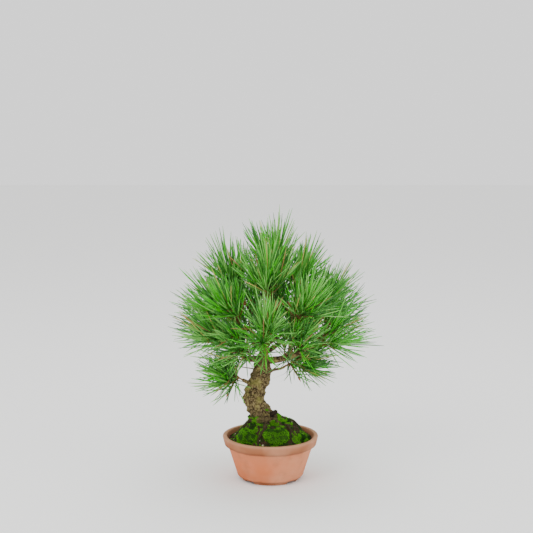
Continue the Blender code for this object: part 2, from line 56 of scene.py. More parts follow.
# Pot, as in the solids
RIM_RADIUS = 0.075
RIM_HEIGHT = 0.069
LIP_THICKNESS = 0.007
LIP_ROUND = 0.002
BAND_FOOT_RADIUS = 0.0722
BAND_HEIGHT = 0.014
WALL_TOP_RADIUS = 0.0668
WALL_FOOT_RADIUS = 0.0512
WALL_THICKNESS = 0.0062
CORNER_ROUND = 0.005
FOOT_RADIUS = 0.0462
FOOT_INNER_RADIUS = 0.0345
FOOT_HEIGHT = 0.0045
FLOOR_THICKNESS = 0.006
DRAIN_RADIUS = 0.0085
FLOOR_CORNER_RISE = 0.004
FLOOR_CORNER_RUN = 0.003
SMALL_DRAFT = 0.0004
POT_STEPS = 144
EDGE_ROUND = 0.0007
POT_SHARP_ANGLE = 32
WOBBLE = 0.00035  # how far the hand-turned clay strays from a true circle
WOBBLES_PER_METRE = 24
FEET = 4
FIRST_NOTCH = math.radians(45)
NOTCH_WIDTH_LOW = 0.023
NOTCH_WIDTH_TOP = 0.011
NOTCH_HEIGHT = 0.004
NOTCH_EASE = 0.0015

# Soil and what lies on it
SOIL_EDGE_HEIGHT = 0.063
SEAT_HEIGHT = 0.0895
SEAT_RADIUS = 0.035
MOUND_RADIUS = 0.06
SOIL_RINGS = 56
SOIL_EDGE_BAND = 0.001  # no crumbs this near the pot's wall
CRUMBS_PER_METRE = 260
CRUMB_HEIGHT = 0.001
HOLLOWS_PER_METRE = 70
HOLLOW_DEPTH = 0.0009
# Each cushion's bearing in degrees, distance from the axis, and half its length, width and height
MOSS = {
    "moss_front_right": (281, 0.046, 0.02, 0.015, 0.008),
    "moss_front_left": (222, 0.049, 0.02, 0.013, 0.0075),
    "moss_right": (335, 0.054, 0.011, 0.008, 0.005),
    "moss_back": (95, 0.048, 0.022, 0.013, 0.0065),
}
MOSS_LUMP = 0.0016
MOSS_LUMPS_PER_METRE = 90
# Each surface root's bearing, where it starts and ends, its thick and thin radius and its bend
ROOTS = {
    "root_front": (252, 0.03, 0.058, 0.0042, 0.0016, 0.003),
    "root_right": (8, 0.03, 0.06, 0.0038, 0.0014, -0.004),
    "root_right_front": (312, 0.031, 0.059, 0.0032, 0.0012, 0.004),
    "root_left": (188, 0.03, 0.058, 0.004, 0.0014, 0.003),
}

# What the scene adds to the ground: rougher moss with its tips, climbing moss, grit and pebbles
MOSS_SWELL = 1.6  # how much more lumpy the felt is than the solid
TUFTS_PER_METRE = 420
TUFT_HEIGHT = 0.0006
CLEAR_OF_SOIL = 0.0002
CUSHION_TIP_SHARE = 0.75
BARE_PATCHES_PER_METRE = 85
BARE_BELOW = -0.28
MOSS_TIP_RADIUS = 0.00032
CUSHION_TIPS = (0.0011, 0.0024)
MOUND_TIPS = (0.0012, 0.0026)
CLIMBING_TIPS = (0.0016, 0.0028)
CUSHION_SHADES = (130, -0.15)  # patches per metre, and the level above which they are bright
MOUND_SHADES = (90, 0.02)
CLIMBING_SHADES = (120, -0.05)
MOUND_TIP_COUNT = 30000
MOUND_MOSS_ABOVE = -0.16
MOSS_NEAR = 0.022
MOSS_FAR = 0.0625
CLIMBING_TIP_COUNT = 14000
CLIMB_SHARE = 0.2  # how far up the trunk's line the moss climbs
CLIMB_THINNING = 4.4
CLIMB_ANGLES = (190, 380)
CLIMB_SINK = 0.0008
GRIT_NEAR = 0.02
GRIT_SIZES = (0.0006, 0.0013)
# Colour, count and size
GRIT = {
    "dark_grit": ("#3a2c20", 1500, 1.0),
    "cream_pebbles": ("#c9bfa6", 26, 1.5),
}

# Trunk and boughs, as in the solids. Each row of the trunk's line is x, y, height and radius
TRUNK_LINE = (
    (-0.004, 0.001, 0.0898, 0.0195),
    (-0.01, 0.0, 0.097, 0.0182),
    (-0.016, -0.001, 0.105, 0.017),
    (-0.023, -0.001, 0.117, 0.0162),
    (-0.0262, 0.0, 0.129, 0.016),
    (-0.0235, 0.002, 0.141, 0.016),
    (-0.0175, 0.002, 0.154, 0.0158),
    (-0.0145, 0.001, 0.169, 0.0142),
    (-0.0118, 0.0, 0.183, 0.0118),
    (-0.0105, 0.002, 0.196, 0.0078),
    (-0.01, 0.004, 0.215, 0.006),
    (-0.006, 0.003, 0.242, 0.005),
    (-0.001, -0.001, 0.27, 0.004),
    (0.005, 0.0, 0.308, 0.0028),
)
TRUNK_RINGS = 26
FLARE_TOP = 0.112
FLARE_REACH = 0.0085
RIDGE_WIDTH = math.radians(20)
KNOB_SIZE = 0.0011
KNOB_WAVES = ((3, 60), (5, -85))  # waves round the trunk, and radians along it
THICK_TRUNK = 0.015  # knobs and plates shrink where the radius is smaller
# Bearing in degrees, reach and top height
ROOT_RIDGES = (
    (8, 0.011, 0.125),
    (78, 0.004, 0.104),
    (140, 0.005, 0.104),
    (190, 0.005, 0.104),
    (250, 0.006, 0.106),
    (312, 0.007, 0.11),
)
# Parent, where on it, end, sag, and the thick and thin radius
BOUGHS = {
    "bough_left_low": ("trunk", 0.44, (-0.043, -0.01, 0.159), 0.002, 0.0046, 0.0026),
    "bough_right_twig": ("trunk", 0.54, (0.022, 0.004, 0.177), 0.003, 0.0026, 0.0017),
    "bough_left_main": ("trunk", 0.64, (-0.058, -0.022, 0.211), 0.005, 0.0062, 0.003),
    "bough_right_main": ("trunk", 0.645, (0.063, -0.026, 0.217), 0.007, 0.0066, 0.003),
    "bough_back_low": ("trunk", 0.665, (0.0, 0.055, 0.211), 0.003, 0.0046, 0.0024),
    "bough_front_mid": ("trunk", 0.7, (-0.008, -0.058, 0.23), 0.003, 0.0036, 0.0022),
    "bough_back_right": ("trunk", 0.7, (0.05, 0.052, 0.237), 0.003, 0.0044, 0.0024),
    "bough_back_left": ("trunk", 0.715, (-0.05, 0.052, 0.235), 0.003, 0.0044, 0.0024),
    "bough_front_left": ("trunk", 0.735, (-0.044, -0.042, 0.248), 0.003, 0.0036, 0.0022),
    "bough_front_right": ("trunk", 0.755, (0.034, -0.046, 0.25), 0.002, 0.0036, 0.0022),
    "bough_left_high": ("trunk", 0.79, (-0.056, 0.003, 0.248), 0.003, 0.0036, 0.0022),
    "bough_upper_left": ("trunk", 0.85, (-0.044, -0.004, 0.285), 0.002, 0.0034, 0.0022),
    "bough_front_high": ("trunk", 0.88, (-0.004, -0.037, 0.288), 0.002, 0.0028, 0.002),
    "bough_back_high": ("trunk", 0.905, (0.003, 0.04, 0.285), 0.002, 0.0028, 0.002),
    "bough_upper_right": ("bough_right_main", 0.56, (0.038, -0.003, 0.284), -0.006, 0.0042, 0.0024),
    "bough_right_inner": ("bough_right_main", 0.36, (0.03, -0.034, 0.212), 0.001, 0.0024, 0.0018),
    "bough_right_mid": ("bough_right_main", 0.74, (0.07, 0.04, 0.233), 0.003, 0.003, 0.002),
    "bough_left_inner": ("bough_left_main", 0.42, (-0.034, -0.034, 0.208), 0.001, 0.0024, 0.0018),
    "bough_left_mid": ("bough_left_main", 0.6, (-0.066, 0.034, 0.219), 0.003, 0.0032, 0.002),
    "bough_right_high": ("bough_upper_right", 0.58, (0.06, 0.006, 0.256), 0.001, 0.0028, 0.002),
}
BOUGH_STEPS = 7
BOUGH_WAVER = 0.0022

# Bark relief: plates parted by fissures, with crumbs on both. Grids are points round and along
TRUNK_GRID = (110, 230)
BOUGH_GRID = (16, 60)
ROOT_GRID = (14, 44)
TRUNK_PLATE = 0.005
BOUGH_PLATE = 0.0032
ROOT_PLATE = 0.0026
SMALLEST_PLATE = 0.35
PLATE_STRETCH = 1.5
PLATE_WARP = 0.6
FISSURE_WIDTH = 0.2
PLATE_RISE = 0.62
FISSURE_FLOOR = 0.33
BARK_CRUMB = 0.34
TRUNK_RELIEF = 0.42  # relief against the plate's width, and the relief that lies on the solid
TRUNK_RELIEF_LEVEL = 0.75
LIMB_RELIEF = 0.22
LIMB_RELIEF_LEVEL = 0.7
# Place, way, length and radius
CUT_STUB = ((0.001, -0.012, 0.104), (0.62, -0.55, 0.56), 0.0135, 0.0042)

# Needle masses, as in the solids: limb, number of main shoots and vigour
MASSES = {"needles_apex": ("trunk", 4, 1.02)}
WEAKER_MASSES = {
    "upper_right": (3, 0.95),
    "left_low": (3, 0.75),
    "left_inner": (2, 0.8),
    "right_inner": (2, 0.8),
    "right_twig": (3, 0.85),
}
for word in (
    "upper_left", "upper_right", "left_high", "right_high", "left_main", "right_main", "left_mid",
    "right_mid", "left_low", "left_inner", "right_inner", "right_twig", "front_mid", "front_left",
    "front_right", "front_high", "back_low", "back_left", "back_right", "back_high",
):
    MASSES["needles_" + word] = ("bough_" + word, *WEAKER_MASSES.get(word, (3, 1.0)))
CROWN_HEART = Vector((0.0, 0.0, 0.185))
LOWEST_AIM = -0.02
SITE_REACH = 0.058
STEM_LENGTH = 0.008
STEM_RADIUS = 0.0018
TWIG_LENGTH = 0.019
TWIG_RADIUS = 0.0014
TWIG_SPREAD = math.radians(42)
LEADER_SPREAD = math.radians(6)
LEADER_SHARE = 1.3
AIM_WEIGHT = 1.4
TWIG_TRIES = 9
TWIG_LIFT = 0.12
SHOOT_LENGTH = 0.017
NEEDLE_LENGTH = 0.07
NEEDLE_SPREAD = (math.radians(76), math.radians(12))
SHORTEST_NEEDLE = 0.6
SPACE_MARGIN = 0.0006
SPACE_BELOW = 0.031
LIMB_MARGIN = 0.0008
LIMB_SAMPLE = 0.003
GOLDEN_ANGLE = math.radians(137.5)
DRAWS_PER_SHOOT = 30  # random draws that a shoot of the solids takes, passed over to match its twigs

# What the scene adds to the rule: finer twigs and far more needles
MAIN_NEEDLES = 33
SIDE_NEEDLES = 17
INNER_NEEDLES = 12
SIDE_TWIGS = 3
INNER_TWIGS = 4
NEEDLE_RADIUS = 0.00092
NEEDLE_BOW = 0.06
NEEDLE_LIFT = 0.36
NEEDLE_LEAN = (0.6, 1.15)  # against the spread of the solids
NEEDLE_LENGTHS = (0.8, 1.06)
SIDE_ANGLES = (38, 62)
INNER_ANGLES = (25, 70)
INNER_LIFT = 0.35
INNER_TWIG_LENGTH = 0.01
INNER_NEEDLE_SHARE = 0.74
OPEN_BOUGHS = ("bough_left_low", "bough_right_twig")  # no inner shoots on these two
CROWN_FLOOR = 0.17  # no inner needle hangs lower, and none off the leader below the next
LEADER_FLOOR = 0.225
BUD_SHARE = 0.6
BUD_LENGTHS = (0.006, 0.012)
BUD_RADIUS = 0.0014
BUD_SINK = 0.002
# Shades of needle: colour, and the share of shoots whose own it is. Fading needles come singly
NEEDLE_SHADES = {
    "deep": ("#37792a", 0.26),
    "mid": ("#5cad3e", 0.32),
    "fresh": ("#7cc257", 0.26),
    "vivid": ("#4bc318", 0.16),
    "straw": ("#c3bb62", 0.0),
    "dry": ("#a0764a", 0.0),
}
OWN_SHADE_SHARE = 0.5
OTHER_SHADES = ("deep", "mid", "fresh", "deep", "vivid")
FADED_SHARE = 0.045
DRY_SHARE = 0.012
# Brown candles and hooked hanging needles. Each grows from the twig's end nearest to its place, and
# has a way, a length and a radius; a needle also has the offset of its tip
DRY_CANDLES = (
    ((0.056, -0.034, 0.262), (-0.05, -0.2, 1.0), 0.05, 0.0019),
    ((0.104, -0.024, 0.243), (0.2, -0.2, 1.0), 0.027, 0.0019),
    ((0.048, -0.05, 0.275), (0.15, -0.25, 1.0), 0.024, 0.0019),
)
HOOKED_NEEDLES = (
    ((0.026, -0.012, 0.176), (0.25, -0.25, -0.6), 0.036, 0.0007, (-0.026, 0.0, 0.006)),
    ((0.034, -0.01, 0.18), (0.1, -0.3, -0.75), 0.034, 0.0007, (-0.034, 0.0, 0.01)),
    ((-0.05, -0.02, 0.165), (-0.35, -0.3, -0.5), 0.034, 0.0007, (0.018, 0.0, -0.01)),
)

# Grain of the finishes: the real size of what each pattern draws
CLAY_BLOTCH = 0.0263
CLAY_CLOUD = 0.0714
CLAY_GRIT = 0.000625
SHADE_WAVER = 0.0016
TURNING_LINE = 0.00154
TURNING_LENGTH = 0.0833
LICHEN_PATCH = 0.01333
BARK_GRAIN = 0.00111
DARKENING_TOP = 0.12  # the bark darkens towards its foot between these two heights
DARKEST_BELOW = 0.09
SOIL_CRUMB = 0.0022
FELT_TUFT = 0.003

# The clay's colours at shares of the pot's height, the two ends first; some stops are painted shade
CLAY_TONES_AND_PAINTED_SHADE = (
    # painted shade on the foot ring, at 0.0 and 0.055, where it tucks under the wall's rounded corner
    (0.0, "#9c5732"),
    (1.0, "#b08262"),
    (0.055, "#844b2b"),
    (0.12, "#bb6a42"),
    (0.45, "#cd754b"),
    (0.74, "#cf7d55"),
    # painted shade just under the band's overhang
    (0.785, "#75432b"),
    (0.84, "#955b3b"),
    (0.93, "#9d6445"),
    (0.965, "#a87152"),
)

# Studio: each light has a place, a power in watts and a side in metres
LIGHTS = {
    "key": ((-1.1, -1.5, 1.7), 22.0, 1.3),
    "fill": ((1.5, -1.1, 1.1), 9.0, 1.5),
    "top": ((0.1, 0.5, 2.0), 12.0, 1.4),
}
LIT_PLACE = Vector((0.0, 0.0, 0.2))
CAMERA_PLACE = (-0.00616, -1.9225, 0.6092)
CAMERA_DIP = math.radians(8.1)


def linear(code):
    """A hex colour as linear red, green, blue and alpha."""
    channels = [int(code[place : place + 2], 16) / 255 for place in (1, 3, 5)]
    return (*(c / 12.92 if c <= 0.04045 else ((c + 0.055) / 1.055) ** 2.4 for c in channels), 1.0)


def node(tree, kind, inputs=(), stops=(), **settings):
    """Adds a node with its settings; each input is a value or a socket to link from.

    The first two stops of a ramp are its two ends.
    """
    made = tree.nodes.new("ShaderNode" + kind)
    for name, value in settings.items():
        setattr(made, name, value)
    for name, value in dict(inputs).items():
        if isinstance(value, bpy.types.NodeSocket):
            tree.links.new(value, made.inputs[name])
        else:
            made.inputs[name].default_value = value
    for index, (place, colour) in enumerate(stops):
        ends = made.color_ramp.elements
        stop = ends[index] if index < 2 else ends.new(place)
        stop.position = place
        stop.color = linear(colour)
    return made


def finish_named(name, roughness, colour="#808080", specular=0.5):
    """A new material with its plain values set on the shader's own sockets."""
    made = bpy.data.materials.new(name)
    made.use_nodes = True
    shader = made.node_tree.nodes["Principled BSDF"]
    shader.inputs["Base Color"].default_value = linear(colour)
    shader.inputs["Roughness"].default_value = roughness
    shader.inputs["Specular IOR Level"].default_value = specular
    return made, made.node_tree, shader


def plain_finish(name, roughness, colour, specular):
    """A material of one colour all over, for pieces too small to show a pattern."""
    return finish_named(name, roughness, colour, specular)[0]


def laid_over(tree, base, pattern, colour, start, full, most):
    """Lays a colour over the base where a pattern runs from start to full, most of it at full."""
    limits = {"Value": pattern, "From Min": start, "From Max": full, "To Max": most}
    share = node(tree, "MapRange", limits).outputs["Result"]
    layers = {"Fac": share, "Color1": base, "Color2": linear(colour)}
    return node(tree, "MixRGB", layers).outputs["Color"]


def make_terracotta():
    """Unglazed fired clay, chalky and warm: a browner band, painted shade under it and on the foot."""
    made, tree, shader = finish_named("unglazed_terracotta", 0.88, specular=0.25)
    place = node(tree, "TexCoord").outputs["Object"]
    mottle = {"Vector": place, "Scale": 1 / CLAY_BLOTCH, "Detail": 5.0, "Roughness": 0.6}
    blotch = node(tree, "TexNoise", mottle).outputs["Fac"]
    bloom = {"Vector": place, "Scale": 1 / CLAY_CLOUD, "Detail": 3.0}
    cloud = node(tree, "TexNoise", bloom).outputs["Fac"]
    # the shades follow the height, and waver so that no edge looks ruled
    height = node(tree, "SeparateXYZ", {"Vector": place}).outputs["Z"]
    waver = {"Value": blotch, "To Min": -SHADE_WAVER, "To Max": SHADE_WAVER}
    shift = node(tree, "MapRange", waver).outputs["Result"]
    wavy = node(tree, "Math", {0: height, 1: shift}, operation="ADD").outputs["Value"]
    share = node(tree, "MapRange", {"Value": wavy, "From Max": RIM_HEIGHT}).outputs["Result"]
    # the dark stops under the band and on the foot are painted shade
    shades = node(tree, "ValToRGB", {"Fac": share}, stops=CLAY_TONES_AND_PAINTED_SHADE).outputs["Color"]
    limed = laid_over(tree, shades, cloud, "#dca482", 0.46, 0.66, 0.42)
    darkened = laid_over(tree, limed, blotch, "#9b6448", 0.56, 0.78, 0.45)
    tree.links.new(darkened, shader.inputs["Base Color"])
    # turning lines run round the pot, over the grit of the clay
    stretch = (1 / TURNING_LENGTH, 1 / TURNING_LENGTH, 1 / TURNING_LINE)
    turned = node(tree, "Mapping", {"Vector": place, "Scale": stretch}).outputs["Vector"]
    lines = node(tree, "TexNoise", {"Vector": turned, "Scale": 1.0, "Detail": 2.0}).outputs["Fac"]
    speckle = {"Vector": place, "Scale": 1 / CLAY_GRIT, "Detail": 3.0}
    grit = node(tree, "TexNoise", speckle).outputs["Fac"]
    relief = node(tree, "MixRGB", {"Fac": 0.45, "Color1": lines, "Color2": grit}).outputs["Color"]
    bump = node(tree, "Bump", {"Height": relief, "Strength": 0.55, "Distance": 0.0005})
    tree.links.new(bump.outputs["Normal"], shader.inputs["Normal"])
    return made


def make_bark_finish():
    """Plated pine bark: grey-brown plates, dark fissures with painted shade, dry yellow lichen, darker
    foot.
    """
    made, tree, shader = finish_named("plated_pine_bark", 0.93, specular=0.2)
    place = node(tree, "TexCoord").outputs["Object"]
    depth = node(tree, "Attribute", attribute_name="relief").outputs["Fac"]
    # the colour darkens with the relief's depth: the fissures' own darker bark, with painted shade down
    # in them
    shades = ((0.0, "#1c150e"), (1.0, "#847450"), (0.42, "#382c1c"), (0.75, "#615235"))
    plates = node(tree, "ValToRGB", {"Fac": depth}, stops=shades).outputs["Color"]
    patch = node(tree, "TexNoise", {"Vector": place, "Scale": 1 / LICHEN_PATCH, "Detail": 4.0})
    lichened = laid_over(tree, plates, patch.outputs["Fac"], "#98904f", 0.50, 0.64, 0.60)
    height = node(tree, "SeparateXYZ", {"Vector": place}).outputs["Z"]
    # darker towards the foot: from the upper height down to the lower one, and fully below it
    darkened = laid_over(tree, lichened, height, "#231b12", DARKENING_TOP, DARKEST_BELOW, 0.92)
    tree.links.new(darkened, shader.inputs["Base Color"])
    fibres = {"Vector": place, "Scale": 1 / BARK_GRAIN, "Detail": 4.0}
    grain = node(tree, "TexNoise", fibres).outputs["Fac"]
    bump = node(tree, "Bump", {"Height": grain, "Strength": 0.6, "Distance": 0.0006})
    tree.links.new(bump.outputs["Normal"], shader.inputs["Normal"])
    return made


def make_earth(name, dark, light, grain_size, relief):
    """Moist grit or moss felt: two shades broken up at its grain size, with no shine."""
    made, tree, shader = finish_named(name, 0.96, specular=0.15)
    place = node(tree, "TexCoord").outputs["Object"]
    pattern = {"Vector": place, "Scale": 1 / grain_size, "Detail": 5.0, "Roughness": 0.7}
    grain = node(tree, "TexNoise", pattern).outputs["Fac"]
    shades = node(tree, "ValToRGB", {"Fac": grain}, stops=((0.34, dark), (0.68, light)))
    tree.links.new(shades.outputs["Color"], shader.inputs["Base Color"])
    bump = node(tree, "Bump", {"Height": grain, "Strength": 0.8, "Distance": relief})
    tree.links.new(bump.outputs["Normal"], shader.inputs["Normal"])
    return made


def linked(name, data):
    """A new object in the scene for a mesh, a lamp or a camera."""
    made = bpy.data.objects.new(name, data)
    bpy.context.scene.collection.objects.link(made)
    return made


def placed(name, mesh, finish, slot, *nodes):
    """Puts a finished mesh in the scene on the plant's one body, standing for the nodes named."""
    made = linked(name, mesh)
    mesh.materials.append(finish)
    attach(made, "root")
    if nodes:
        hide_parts(*nodes)


def meshed(name, shape, smooth_angle=None):
    """Turns a bmesh into a mesh, smooth but for edges sharper than an angle in degrees."""
    mesh = bpy.data.meshes.new(name)
    shape.to_mesh(mesh)
    shape.free()
    if smooth_angle is not None:
        mesh.shade_smooth()
        mesh.set_sharp_from_angle(angle=math.radians(smooth_angle))
    return mesh


def random_way(rng, lowest, highest):
    """A way picked at random, its rise between two limits."""
    return Vector((rng.uniform(-1, 1), rng.uniform(-1, 1), rng.uniform(lowest, highest)))


def arc(centre, radius, start, end, steps):
    """Profile points on an arc, from one angle to another in degrees."""
    for step in range(steps + 1):
        angle = math.radians(start + (end - start) * step / steps)
        yield centre[0] + radius * math.cos(angle), centre[1] + radius * math.sin(angle)


def set_in_order(shape):
    """Puts the faces in the order of their points: spin and the boolean order them anew on each run."""
    shape.verts.index_update()
    ranked = sorted(shape.faces, key=lambda face: sorted(point.index for point in face.verts))
    ranks = {face: rank for rank, face in enumerate(ranked)}
    shape.faces.sort(key=lambda face: ranks[face])


def spun(profile):
    """A closed ring or a body with poles, spun about Z from (radius, height) points."""
    shape = bmesh.new()
    points = [shape.verts.new((radius, 0.0, height)) for radius, height in profile]
    edges = [shape.edges.new(pair) for pair in zip(points, points[1:])]
    if profile[0][0] > 0:
        edges.append(shape.edges.new((points[-1], points[0])))
    bmesh.ops.spin(
        shape,
        geom=[*points, *edges],
        axis=(0.0, 0.0, 1.0),
        cent=(0.0, 0.0, 0.0),
        angle=math.tau,
        steps=POT_STEPS,
        use_merge=True,
    )
    bmesh.ops.remove_doubles(shape, verts=shape.verts, dist=MERGE_DISTANCE)
    set_in_order(shape)
    bmesh.ops.recalc_face_normals(shape, faces=shape.faces)
    return shape


def wall_radius(height):
    share = (height - FOOT_HEIGHT) / (RIM_HEIGHT - BAND_HEIGHT - FOOT_HEIGHT)
    return WALL_FOOT_RADIUS + (WALL_TOP_RADIUS - WALL_FOOT_RADIUS) * share


def inner_radius(height):
    return wall_radius(height) - WALL_THICKNESS


def make_notch(index):
    """A bridge-shaped cutter that runs out through the foot ring and leaves a foot either side."""
    half_low = NOTCH_WIDTH_LOW / 2
    half_top = NOTCH_WIDTH_TOP / 2
    right_side = [
        (half_low, -NOTCH_HEIGHT / 2),
        (half_low, 0.0),
        (half_top + NOTCH_EASE, NOTCH_HEIGHT * 0.7),
        (half_top - NOTCH_EASE, NOTCH_HEIGHT),
    ]
    corners = [*right_side, *((-across, up) for across, up in reversed(right_side))]
    shape = bmesh.new()
    face = shape.faces.new([shape.verts.new((FOOT_RADIUS * 0.4, *corner)) for corner in corners])
    drawn = bmesh.ops.extrude_face_region(shape, geom=[face])["geom"]
    moved = [item for item in drawn if isinstance(item, bmesh.types.BMVert)]
    bmesh.ops.translate(shape, verts=moved, vec=(FOOT_RADIUS * 1.2, 0.0, 0.0))
    bmesh.ops.recalc_face_normals(shape, faces=shape.faces)
    shape.transform(Matrix.Rotation(FIRST_NOTCH + math.tau * index / FEET, 4, "Z"))
    return linked(f"notch_{index}", meshed(f"notch_{index}", shape))


def pot_profile():
    """The pot's outline, from inside the lip over the rim and down to the foot, then up the inside."""
    band_foot = RIM_HEIGHT - BAND_HEIGHT
    floor = FOOT_HEIGHT + FLOOR_THICKNESS
    lip_inner = RIM_RADIUS - LIP_THICKNESS
    corner = FOOT_HEIGHT + CORNER_ROUND
    return [
        *arc((lip_inner + LIP_ROUND, RIM_HEIGHT - LIP_ROUND), LIP_ROUND, 180, 90, 5),
        *arc((RIM_RADIUS - LIP_ROUND, RIM_HEIGHT - LIP_ROUND), LIP_ROUND, 90, 0, 6),
        *arc((BAND_FOOT_RADIUS - EDGE_ROUND, band_foot + EDGE_ROUND), EDGE_ROUND, 0, -90, 3),
        (WALL_TOP_RADIUS + EDGE_ROUND, band_foot - SMALL_DRAFT),
        (WALL_TOP_RADIUS, band_foot - 3 * SMALL_DRAFT),
        (wall_radius(corner), corner),
        *arc((wall_radius(corner) - CORNER_ROUND, corner), CORNER_ROUND, -15, -75, 6),
        (FOOT_RADIUS - SMALL_DRAFT, FOOT_HEIGHT - SMALL_DRAFT),
        *arc((FOOT_RADIUS - 2 * SMALL_DRAFT - EDGE_ROUND, EDGE_ROUND), EDGE_ROUND, 0, -90, 3),
        (FOOT_INNER_RADIUS, 0.0),
        (FOOT_INNER_RADIUS - 4 * SMALL_DRAFT, FOOT_HEIGHT),
        (DRAIN_RADIUS, FOOT_HEIGHT),
        (DRAIN_RADIUS, floor),
        (inner_radius(floor) - FLOOR_CORNER_RUN, floor),
        (inner_radius(floor + FLOOR_CORNER_RISE), floor + FLOOR_CORNER_RISE),
        (inner_radius(band_foot), band_foot),
    ]


def make_pot(finish):
    """The pot turned finely from the solid's own sizes, its feet cut and its circle not quite true."""
    pot = linked("turned_pot", meshed("turned_pot", spun(pot_profile())))
    cutters = [make_notch(index) for index in range(FEET)]
    for cutter in cutters:
        cut = pot.modifiers.new("cut", "BOOLEAN")
        cut.operation = "DIFFERENCE"
        cut.object = cutter
    graph = bpy.context.evaluated_depsgraph_get()
    mesh = bpy.data.meshes.new_from_object(pot.evaluated_get(graph))
    for item in [pot, *cutters]:
        bpy.data.objects.remove(item)
    shape = bmesh.new()
    shape.from_mesh(mesh)
    set_in_order(shape)
    for point in shape.verts:
        wobble = noise.noise(point.co * WOBBLES_PER_METRE) * WOBBLE
        point.co.x *= 1 + wobble / RIM_RADIUS
        point.co.y *= 1 + wobble / RIM_RADIUS
    placed("clay_pot", meshed("clay_pot", shape, POT_SHARP_ANGLE), finish, "terracotta", "pot")


def soil_height(radius):
    share = min(max((radius - SEAT_RADIUS) / (MOUND_RADIUS - SEAT_RADIUS), 0.0), 1.0)
    fall = share * 0.75 + (1 - math.cos(math.pi * share)) / 8
    return SEAT_HEIGHT - (SEAT_HEIGHT - SOIL_EDGE_HEIGHT) * fall


def soil_roughness(x, y):
    """How far the soil's crumbs stand above or below its smooth mound."""
    here = Vector((x, y, 0.0))
    crumbs = noise.fractal(here * CRUMBS_PER_METRE, 0.9, 2.1, 4) * CRUMB_HEIGHT
    return crumbs + noise.noise(here * HOLLOWS_PER_METRE) * HOLLOW_DEPTH


def make_soil(finish):
    """The soil that fills the pot, its mound rough with crumbs and its edge smooth along the lip."""
    floor = FOOT_HEIGHT + FLOOR_THICKNESS + GAP
    band_foot = RIM_HEIGHT - BAND_HEIGHT
    side_gap = GAP * 1.2
    rise = (SOIL_EDGE_HEIGHT - band_foot) / (RIM_HEIGHT - LIP_ROUND - band_foot)
    lip_inner = RIM_RADIUS - LIP_THICKNESS
    edge = inner_radius(band_foot) + (lip_inner - inner_radius(band_foot)) * rise - side_gap
    radii = [edge * step / SOIL_RINGS for step in range(SOIL_RINGS + 1)]
    profile = [(radius, soil_height(radius)) for radius in radii]
    profile += [
        (inner_radius(band_foot) - side_gap, band_foot),
        (inner_radius(floor + FLOOR_CORNER_RISE) - side_gap, floor + FLOOR_CORNER_RISE),
        (inner_radius(floor) - FLOOR_CORNER_RUN - side_gap, floor),
        (0.0, floor),
    ]
    shape = spun(profile)
    for point in shape.verts:
        x, y, z = point.co
        if z > SOIL_EDGE_HEIGHT - SOIL_EDGE_BAND and math.hypot(x, y) < edge - SOIL_EDGE_BAND / 2:
            point.co.z += soil_roughness(x, y)
    placed("soil_mound", meshed("soil_mound", shape, SMOOTH_ALL), finish, "soil", "soil")


def moss_shade(place, patches_per_metre, level):
    """Bright or deep moss, in patches."""
    return "bright" if noise.noise(place * patches_per_metre) > level else "deep"


def make_moss(name, finish, tips):
    """A felted cushion, and the tips of its stems all over its top but for some bare patches."""
    degrees, distance, length, width, thickness = MOSS[name]
    slope = math.atan2(soil_height(distance - width / 2) - soil_height(distance + width / 2), width)
    lie = Matrix.Rotation(math.radians(degrees), 4, "Z")
    lie @= Matrix.Translation((distance, 0.0, soil_height(distance)))
    lie @= Matrix.Rotation(slope, 4, "Y")
    lie @= Matrix.Diagonal((width, length, thickness, 1.0))
    shape = bmesh.new()
    bmesh.ops.create_icosphere(shape, subdivisions=5, radius=1.0)
    shape.transform(lie)
    rng = random.Random(name)
    for point in shape.verts:
        out = (point.co - lie.translation).normalized()
        point.co += out * noise.noise(point.co * MOSS_LUMPS_PER_METRE) * MOSS_LUMP * MOSS_SWELL
        point.co += out * (noise.noise(point.co * TUFTS_PER_METRE) * TUFT_HEIGHT - TUFT_HEIGHT)
        above = point.co.z - soil_height(math.hypot(point.co.x, point.co.y))
        grows = above > CLEAR_OF_SOIL and rng.random() < CUSHION_TIP_SHARE
        if grows and noise.noise(point.co * BARE_PATCHES_PER_METRE) > BARE_BELOW:
            lean = random_way(rng, -0.2, 1) * 0.8
            shade = moss_shade(point.co, *CUSHION_SHADES)
            tips[shade].append((point.co.copy(), (out + lean).normalized(), rng.uniform(*CUSHION_TIPS)))
    placed(name + "_felt", meshed(name + "_felt", shape, SMOOTH_ALL), finish, "moss", name)


def scatter_on_mound(seed, count, near, far, accept):
    """Places on the mound between two distances from the axis, kept where accept says so."""
    rng = random.Random(seed)
    for _ in range(count):
        angle = rng.uniform(0, math.tau)
        radius = math.sqrt(rng.uniform(near**2, far**2))
        x, y = radius * math.cos(angle), radius * math.sin(angle)
        if accept(x, y):
            yield Vector((x, y, soil_height(radius) + soil_roughness(x, y))), rng


